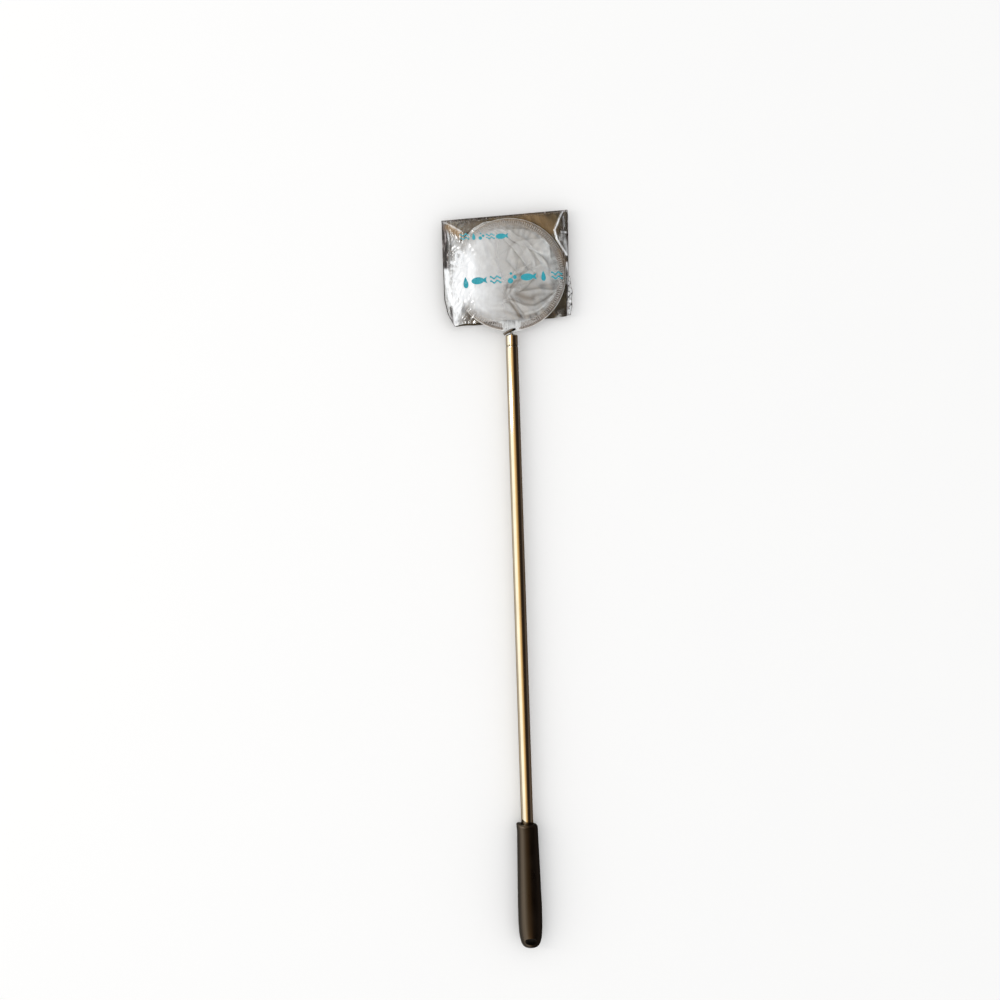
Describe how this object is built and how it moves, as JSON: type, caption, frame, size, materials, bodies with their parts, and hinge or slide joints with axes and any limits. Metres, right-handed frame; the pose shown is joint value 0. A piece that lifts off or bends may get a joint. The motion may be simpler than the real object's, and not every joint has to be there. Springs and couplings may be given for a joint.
{
  "type": "aquarium fish net",
  "caption": "Round white mesh hand net on a telescoping polished steel handle with a black rubber grip, its head in a clear film sleeve.",
  "frame": {"origin": "centre of the hang slot through the grip's domed end, on the handle's axis", "axes": "+Y along the handle to the hoop, +Z square to the hoop and up as the net lies flat, +X across"},
  "size_m": [0.0858, 0.4883, 0.016],
  "materials": {
    "grip_rubber": "satin foam rubber",
    "tube_steel": "polished",
    "plug_plastic": "moulded",
    "bush_plastic": "moulded",
    "spring_bronze": "rolled strip",
    "ferrule_brass": "turned",
    "socket_steel": "turned",
    "wire_steel": "drawn wire",
    "net_mesh": "fine knitted nylon mesh",
    "clear_film": "clear glossy film"
  },
  "bodies": {
    "handle": {"grip": "grip_rubber", "outer_tube": "tube_steel", "tube_end_plug": "plug_plastic", "outer_guide_bush": "bush_plastic"},
    "middle_slider": {"middle_friction_spring": "spring_bronze"},
    "middle_section": {"middle_tube": "tube_steel", "middle_foot_ferrule": "ferrule_brass", "middle_guide_bush": "bush_plastic"},
    "inner_slider": {"inner_friction_spring": "spring_bronze"},
    "net_head": {"inner_tube": "tube_steel", "inner_foot_ferrule": "ferrule_brass", "tang_socket": "socket_steel", "hoop_wire": "wire_steel", "net_hem": "net_mesh", "net_pouch": "net_mesh"},
    "sleeve": {"clear_sleeve": "clear_film"}
  },
  "joints": [
    {"name": "middle_slide", "type": "slide", "parent": "handle", "child": "middle_slider", "axis": [0, 1, 0], "range_m": [0, 0.358]},
    {"name": "middle_swivel", "type": "hinge", "parent": "middle_slider", "child": "middle_section", "pos_m": [0, 0.022, 0], "axis": [0, 1, 0], "continuous": true},
    {"name": "inner_slide", "type": "slide", "parent": "middle_section", "child": "inner_slider", "axis": [0, 1, 0], "range_m": [0, 0.3495]},
    {"name": "head_swivel", "type": "hinge", "parent": "inner_slider", "child": "net_head", "pos_m": [0, 0.03, 0], "axis": [0, 1, 0], "continuous": true},
    {"name": "sleeve_slide", "type": "slide", "parent": "net_head", "child": "sleeve", "axis": [-0.0558, 0.9984, 0], "range_m": [0, 0.08]}
  ]
}
